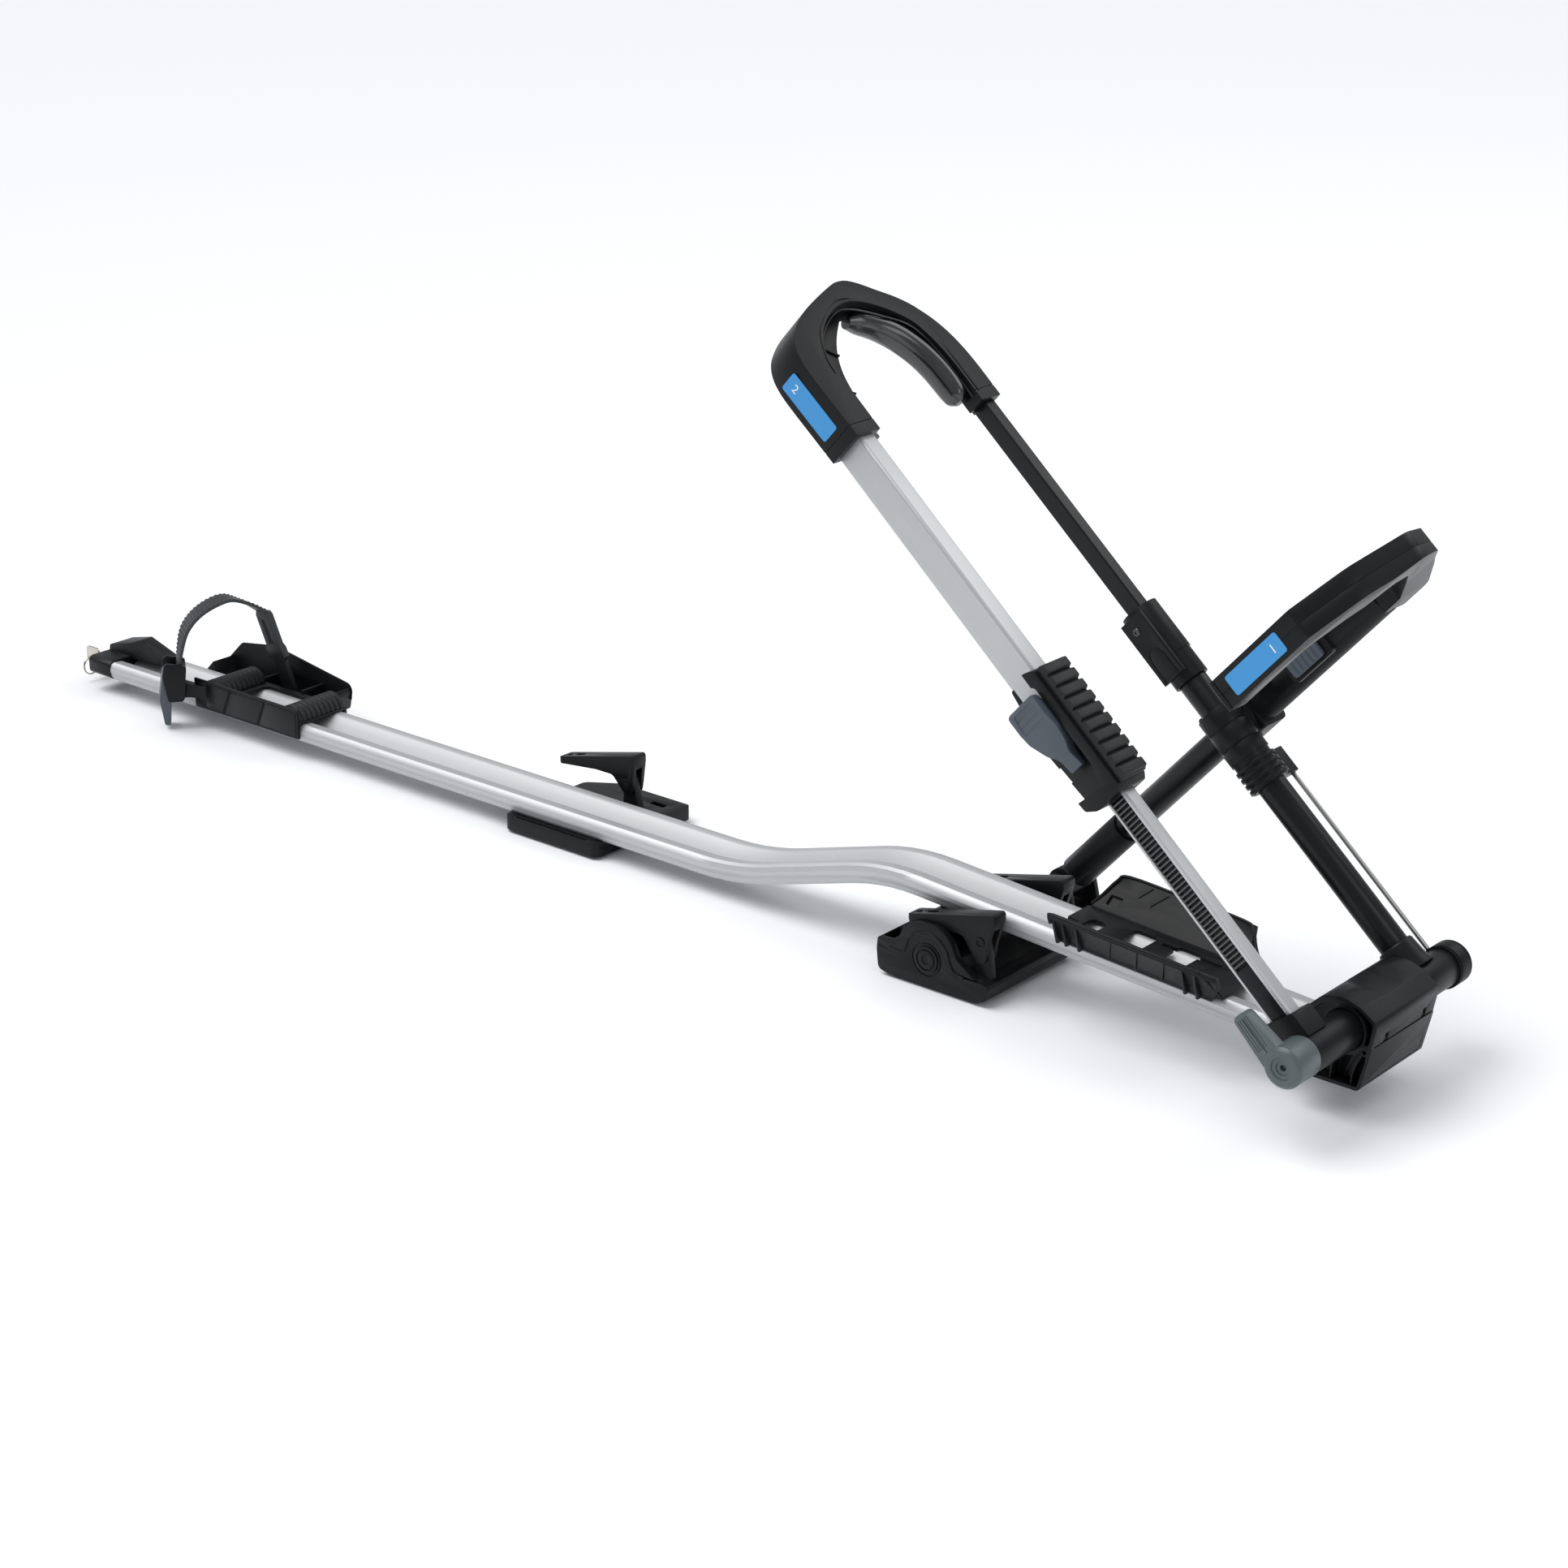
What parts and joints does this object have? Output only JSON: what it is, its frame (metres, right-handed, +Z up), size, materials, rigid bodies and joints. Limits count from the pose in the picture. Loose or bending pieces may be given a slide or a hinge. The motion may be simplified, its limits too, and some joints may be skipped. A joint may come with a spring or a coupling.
{
  "type": "roof bike carrier",
  "caption": "Upright roof carrier for one bicycle: grooved aluminium rail on clamping feet, a telescoping tyre hoop, a hooked wheel arm and a strapped rear wheel tray.",
  "frame": {"origin": "on the ground, at the centre of the underside of the front foot pad, under the rail", "axes": "+X towards the nose of the rail, +Z up, -Y the side with the release lever and lock knob"},
  "size_m": [1.5969, 0.278, 0.5795],
  "materials": {
    "arm_aluminium": "satin anodised",
    "black_plastic": "satin moulded nylon",
    "black_tube": "satin powder coat",
    "chrome": "polished",
    "gloss_pad": "gloss",
    "grey_knob": "satin grey",
    "grey_lever": "satin blue-grey",
    "rail_aluminium": "satin anodised",
    "soft_rubber": "matte",
    "steel": "zinc plated",
    "strap_plastic": "satin"
  },
  "bodies": {
    "frame": {"rail": "rail_aluminium", "rail_end_cap": "black_plastic", "front_foot_base": "black_plastic", "front_foot_cover": "black_plastic", "front_foot_plug": "black_plastic", "front_foot_pad": "soft_rubber", "front_tray": "black_plastic", "housing_base": "black_plastic", "housing_cover": "black_plastic", "rear_foot": "black_plastic", "rear_foot_pad": "soft_rubber", "arm_bracket": "black_plastic", "arm_pin": "steel", "lever_pins": "steel"},
    "hoop": {"axle": "steel", "near_hub": "black_plastic", "far_hub": "black_plastic", "far_cap": "black_plastic", "ratchet_profile": "arm_aluminium", "ratchet_strip": "black_plastic", "far_tube": "black_tube", "link_sleeve": "black_plastic", "guide_rod": "steel", "tube_collar": "black_plastic"},
    "hoop_slide": {"outer_arm": "arm_aluminium", "slide_rod": "black_tube", "grip_body": "black_plastic", "grip_rubber": "soft_rubber", "hoop_head": "black_plastic", "hoop_pad": "gloss_pad"},
    "release_lever": {"release_lever": "grey_lever"},
    "lock_knob": {"lock_knob": "grey_knob"},
    "wheel_arm": {"arm_socket": "black_plastic", "arm_tube": "black_tube", "cross_collar": "black_plastic"},
    "arm_button": {"arm_button": "grey_lever"},
    "hook": {"hook_head": "black_plastic", "hook_rod": "black_tube"},
    "near_clamp_lever": {"near_clamp_lever": "black_plastic"},
    "far_clamp_lever": {"far_clamp_lever": "black_plastic"},
    "rear_clamp_lever": {"rear_clamp_lever": "black_plastic"},
    "wheel_holder": {"wheel_holder": "black_plastic", "rear_roller": "soft_rubber", "front_roller": "soft_rubber", "strap_holder": "soft_rubber", "ladder_strap": "strap_plastic", "buckle": "black_plastic"},
    "buckle_lever": {"buckle_lever": "grey_lever"},
    "lock": {"lock_cylinder": "chrome", "key": "chrome"},
    "key_ring": {"key_ring": "chrome", "spare_key": "chrome"}
  },
  "joints": [
    {"name": "hoop_fold", "type": "hinge", "parent": "frame", "child": "hoop", "pos_m": [0.388, 0, 0.0779], "axis": [0, -1, 0], "range_deg": [0, 30]},
    {"name": "hoop_reach", "type": "slide", "parent": "hoop", "child": "hoop_slide", "axis": [-0.749, 0, 0.6626], "range_m": [-0.15, 0.05]},
    {"name": "release_pull", "type": "hinge", "parent": "hoop_slide", "child": "release_lever", "pos_m": [0.17373, -0.1136, 0.2628], "axis": [0.6626, 0, 0.749], "range_deg": [0, 20], "stiffness_Nm_per_rad": 0.4, "springref_deg": -11.46},
    {"name": "knob_turn", "type": "hinge", "parent": "hoop", "child": "lock_knob", "pos_m": [0.388, -0.125, 0.0779], "axis": [0, -1, 0], "range_deg": [0, 75]},
    {"name": "arm_fold", "type": "hinge", "parent": "frame", "child": "wheel_arm", "pos_m": [0.016, 0.118, 0.051], "axis": [0, -1, 0], "range_deg": [0, 45]},
    {"name": "button_press", "type": "slide", "parent": "wheel_arm", "child": "arm_button", "axis": [0, 1, 0], "range_m": [0, 0.003], "stiffness_N_per_m": 600, "springref_m": -0.002},
    {"name": "hook_reach", "type": "slide", "parent": "wheel_arm", "child": "hook", "axis": [0.6652, 0, 0.7466], "range_m": [0, 0.08]},
    {"name": "near_clamp", "type": "hinge", "parent": "frame", "child": "near_clamp_lever", "pos_m": [0.044, -0.046, 0.0545], "axis": [0, 1, 0], "range_deg": [0, 95]},
    {"name": "far_clamp", "type": "hinge", "parent": "frame", "child": "far_clamp_lever", "pos_m": [0.044, 0.054, 0.0545], "axis": [0, 1, 0], "range_deg": [0, 95]},
    {"name": "rear_clamp", "type": "hinge", "parent": "frame", "child": "rear_clamp_lever", "pos_m": [-0.455, 0.062, 0.044], "axis": [0, 1, 0], "range_deg": [0, 95]},
    {"name": "holder_slide", "type": "slide", "parent": "frame", "child": "wheel_holder", "axis": [1, 0, 0], "range_m": [-0.02, 0.24]},
    {"name": "buckle_open", "type": "hinge", "parent": "wheel_holder", "child": "buckle_lever", "pos_m": [-0.99863, -0.05201, 0.059], "axis": [-0.788, 0.6157, 0], "range_deg": [0, 60]},
    {"name": "key_turn", "type": "hinge", "parent": "frame", "child": "lock", "pos_m": [-1.139, -0.012, 0.03], "axis": [1, 0, 0], "range_deg": [0, 90]},
    {"name": "ring_swing", "type": "hinge", "parent": "lock", "child": "key_ring", "pos_m": [-1.174, -0.012, 0.0255], "axis": [0, -1, 0], "range_deg": [0, 40]}
  ]
}
